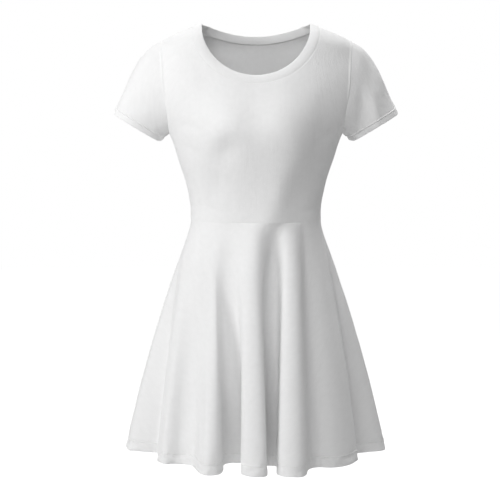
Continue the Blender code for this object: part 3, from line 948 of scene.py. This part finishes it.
def stitch_rows(name, lines, material):
    """Rows of stitches along lines of (points, outward normals, is_loop), as one joined mesh."""
    template, faces = stitch_template()
    points, polygons = [], []
    for line, outward, is_loop in lines:
        if is_loop:
            line = np.concatenate([line, line[:1]])
            outward = np.concatenate([outward, outward[:1]])
        length = lengths_along(line, axis=0)

        def read(values, places):
            return np.stack([np.interp(places, length, values[:, c]) for c in range(3)], -1)

        count = max(2, round(length[-1] / STITCH_PITCH))
        places = (np.arange(count) + 0.5) * length[-1] / count
        middles = read(line, places)
        tangents = unit(read(line, places + STITCH_AHEAD) - middles)
        ups = unit(read(outward, places))
        for middle, along, beside, up in zip(middles, tangents, np.cross(ups, tangents), ups):
            base = len(points) * len(template)
            points.append(
                middle
                + template[:, :1] * STITCH_LENGTH * along
                + template[:, 1:2] * STITCH_RADIUS * beside
                + (template[:, 2:] + STITCH_RISE) * STITCH_RADIUS * up
            )
            polygons += [tuple(base + corner for corner in face) for face in faces]
    mesh = bpy.data.meshes.new(name)
    mesh.from_pydata(np.concatenate(points).tolist(), [], polygons)
    mesh.shade_smooth()
    return add_piece(name, mesh, material)


# ------------------------------------------------------------
# The garment
# ------------------------------------------------------------


def with_relief(grid, outward, creases, seams, is_sleeve=False):
    """The grid moved along its normals by creases, seams and a little unevenness.

    Beside the seam along its first row it must still meet its neighbour. A sleeve's creases die
    away there, and at the waist both sides move level."""
    relief = UNEVENNESS * noise_at(grid, UNEVEN_WAVES)
    near_seam = bell(distance_to_line(grid, grid[0]), CREASE_FADE)
    free = 1 - near_seam if is_sleeve else 1
    if not is_sleeve:
        level = unit(outward * np.array((1, 1, 0)))
        outward = unit(outward + near_seam[..., None] * (level - outward))
    for crease in creases:
        relief = relief + free * crease_relief(grid, outward, crease)
    for line, shape in seams:
        relief = relief + seam_relief(grid, line, shape)
    return grid + outward * relief[..., None]


def bodice(is_front, material):
    name = "bodice_front" if is_front else "bodice_back"
    grid = bodice_grid(is_front)
    outward = outward_of(grid, False, not is_front)
    first = len(SEAM_STEPS) + SIDE_ROWS
    last = first + ARMHOLE_ROWS
    seams = [(grid[0], WAIST_SEAM), (grid[-1], NECK_JOIN)]
    for side in (grid[:, 0], grid[:, -1]):
        seams += [
            (side[: first + 1], PLAIN_SEAM),
            (side[first : last + 1], ARM_SEAM),
            (side[last:], PLAIN_SEAM),
        ]
    grid = with_relief(grid, outward, PANEL_CREASES, seams)
    return cloth_piece(name, grid, material, is_flipped=not is_front)


def sleeve(side, material, thread):
    name = "sleeve_left" if side > 0 else "sleeve_right"
    is_flipped = side > 0
    grid = sleeve_grid(side)
    outward = outward_of(grid, True, is_flipped)
    armhole = np.concatenate([grid[0], grid[0, :1]])
    creases = [crease for crease in SLEEVE_CREASES if crease.from_x * side > 0]
    grid = with_relief(grid, outward, creases, [(armhole, SLEEVE_SEAM)], is_sleeve=True)
    relief = dent_rows(grid, SLEEVE_TWIN_ROWS, SLEEVE_TUNNEL)
    relief = relief + SLEEVE_RIPPLE * hem_ripple(grid, SLEEVE_TURN)
    grid = grid + outward * relief[..., None]
    outward = outward_of(grid, True, is_flipped)
    rows = [-1 - round(distance / HEM_STEP) for distance in SLEEVE_TWIN_ROWS]
    stitches = stitch_rows(
        name + "_stitches", [(grid[r], outward[r], True) for r in rows], thread
    )
    grid = turned_in(grid, outward, SLEEVE_TURN, TURN_RADIUS)
    piece = cloth_piece(name, grid, material, is_loop=True, is_flipped=is_flipped)
    return piece, stitches


def skirt(is_front, material, thread):
    name = "skirt_front" if is_front else "skirt_back"
    grid = skirt_grid(is_front)
    outward = outward_of(grid, False, True)
    seams = [(grid[0], WAIST_SEAM), (grid[:, 0], PLAIN_SEAM), (grid[:, -1], PLAIN_SEAM)]
    grid = with_relief(grid, outward, PANEL_CREASES, seams)
    relief = dent_rows(grid, SKIRT_TWIN_ROWS, SKIRT_TUNNEL) + hem_ripple(grid, SKIRT_TURN)
    grid = grid + outward * relief[..., None]
    outward = outward_of(grid, False, True)
    rows = [-1 - round(distance / HEM_STEP) for distance in SKIRT_TWIN_ROWS]
    stitches = stitch_rows(
        name + "_stitches", [(grid[r], outward[r], False) for r in rows], thread
    )
    grid = turned_in(grid, outward, SKIRT_TURN, TURN_RADIUS)
    piece = cloth_piece(name, grid, material, is_flipped=True)
    return piece, stitches


def neckband(material):
    grid = band_grid()
    outward = outward_of(grid, True, False)
    share = np.linspace(0, 1, len(grid))[:, None]
    lift = BAND_FULLNESS * np.sin(np.pi * share) ** BAND_ROUNDING
    behind = np.clip(outward[..., 1] + BAND_BLEND, 0, 1)
    lift = lift + (BAND_BACK_CURL * behind - BAND_CURL * (1 - behind)) * share**2
    grid = grid + outward * lift[..., None]
    outward = outward_of(grid, True, False)
    grid = turned_in(grid, outward, math.inf, BAND_RADIUS)
    return cloth_piece("neckband", grid, material, is_loop=True)


jersey = jersey_material("white_jersey_knit", BODY_SLUBS)
band_jersey = jersey_material("white_jersey_band_knit", BAND_SLUBS)
thread = thread_material()

front = bodice(True, jersey)
back = bodice(False, jersey)
for is_front in (True, False):
    piece, stitches = skirt(is_front, jersey, thread)
for side in (-1, 1):
    piece, stitches = sleeve(side, jersey, thread)
band = neckband(band_jersey)


# ------------------------------------------------------------
# Camera, light and floor
# ------------------------------------------------------------


def add_camera():
    data = bpy.data.cameras.new("camera")
    data.lens = data.sensor_width * CAMERA_DISTANCE / math.cos(CAMERA_PITCH) / VIEW_WIDTH
    camera = bpy.data.objects.new("camera", data)
    camera.location = CAMERA_PLACE
    camera.rotation_euler = (math.pi / 2 - CAMERA_PITCH, 0, 0)
    bpy.context.scene.collection.objects.link(camera)
    bpy.context.scene.camera = camera


def add_lamp(lamp):
    """A square soft box on a sphere round the dress, aimed at its middle."""
    data = bpy.data.lights.new(lamp.name, "AREA")
    data.size = lamp.size
    data.energy = lamp.power
    turn, lift = math.radians(lamp.azimuth), math.radians(lamp.elevation)
    level = math.cos(lift)
    out = Vector((math.sin(turn) * level, -math.cos(turn) * level, math.sin(lift)))
    box = bpy.data.objects.new(lamp.name, data)
    box.location = Vector(LAMP_TARGET) + LAMP_DISTANCE * out
    box.rotation_euler = (-out).to_track_quat("-Z", "Y").to_euler()
    bpy.context.scene.collection.objects.link(box)


def seen_directly(nodes):
    """1 for rays from the camera, or through glass or off gloss, and 0 for those that light things."""
    path = nodes.add("ShaderNodeLightPath")
    seen = nodes.math("MAXIMUM", path.outputs["Is Camera Ray"], path.outputs["Is Glossy Ray"])
    return nodes.math("MAXIMUM", seen, path.outputs["Is Transmission Ray"])


def add_world(strength):
    """A world that lights the dress evenly and is white to the eye."""
    world = bpy.data.worlds.new("studio")
    world.use_nodes = True
    tree = world.node_tree
    tree.nodes.clear()
    nodes = Nodes(tree)
    fill = nodes.add("ShaderNodeBackground", Color=(1, 1, 1, 1), Strength=strength).outputs[0]
    white = nodes.add("ShaderNodeBackground", Color=(1, 1, 1, 1), Strength=1.0).outputs[0]
    mix = nodes.add("ShaderNodeMixShader", i0=seen_directly(nodes), i1=fill, i2=white)
    nodes.add("ShaderNodeOutputWorld", Surface=mix.outputs[0])
    bpy.context.scene.world = world


def add_floor():
    """A pale floor that is white to the eye where it is lit, and a little darker in a shadow."""
    mesh = bpy.data.meshes.new("floor")
    work = bmesh.new()
    bmesh.ops.create_grid(work, x_segments=1, y_segments=1, size=FLOOR_HALF_SIZE)
    work.to_mesh(mesh)
    work.free()
    floor = bpy.data.objects.new("floor", mesh)
    floor.location.z = HEM - FLOOR_DROP
    bpy.context.scene.collection.objects.link(floor)
    material = bpy.data.materials.new("pale_floor")
    material.use_nodes = True
    tree = material.node_tree
    tree.nodes.clear()
    nodes = Nodes(tree)
    pale = (FLOOR_WHITE, FLOOR_WHITE, FLOOR_WHITE, 1)
    matt = nodes.add("ShaderNodeBsdfDiffuse", Color=pale).outputs[0]
    glow = nodes.add("ShaderNodeEmission", Color=(1, 1, 1, 1), Strength=FLOOR_GLOW).outputs[0]
    both = nodes.add("ShaderNodeAddShader", i0=matt, i1=glow).outputs[0]
    mix = nodes.add("ShaderNodeMixShader", i0=seen_directly(nodes), i1=matt, i2=both)
    nodes.add("ShaderNodeOutputMaterial", Surface=mix.outputs[0])
    mesh.materials.append(material)


add_camera()
for lamp in LAMPS:
    add_lamp(lamp)
add_world(WORLD_STRENGTH)
add_floor()
bpy.context.scene.view_settings.view_transform = "Standard"
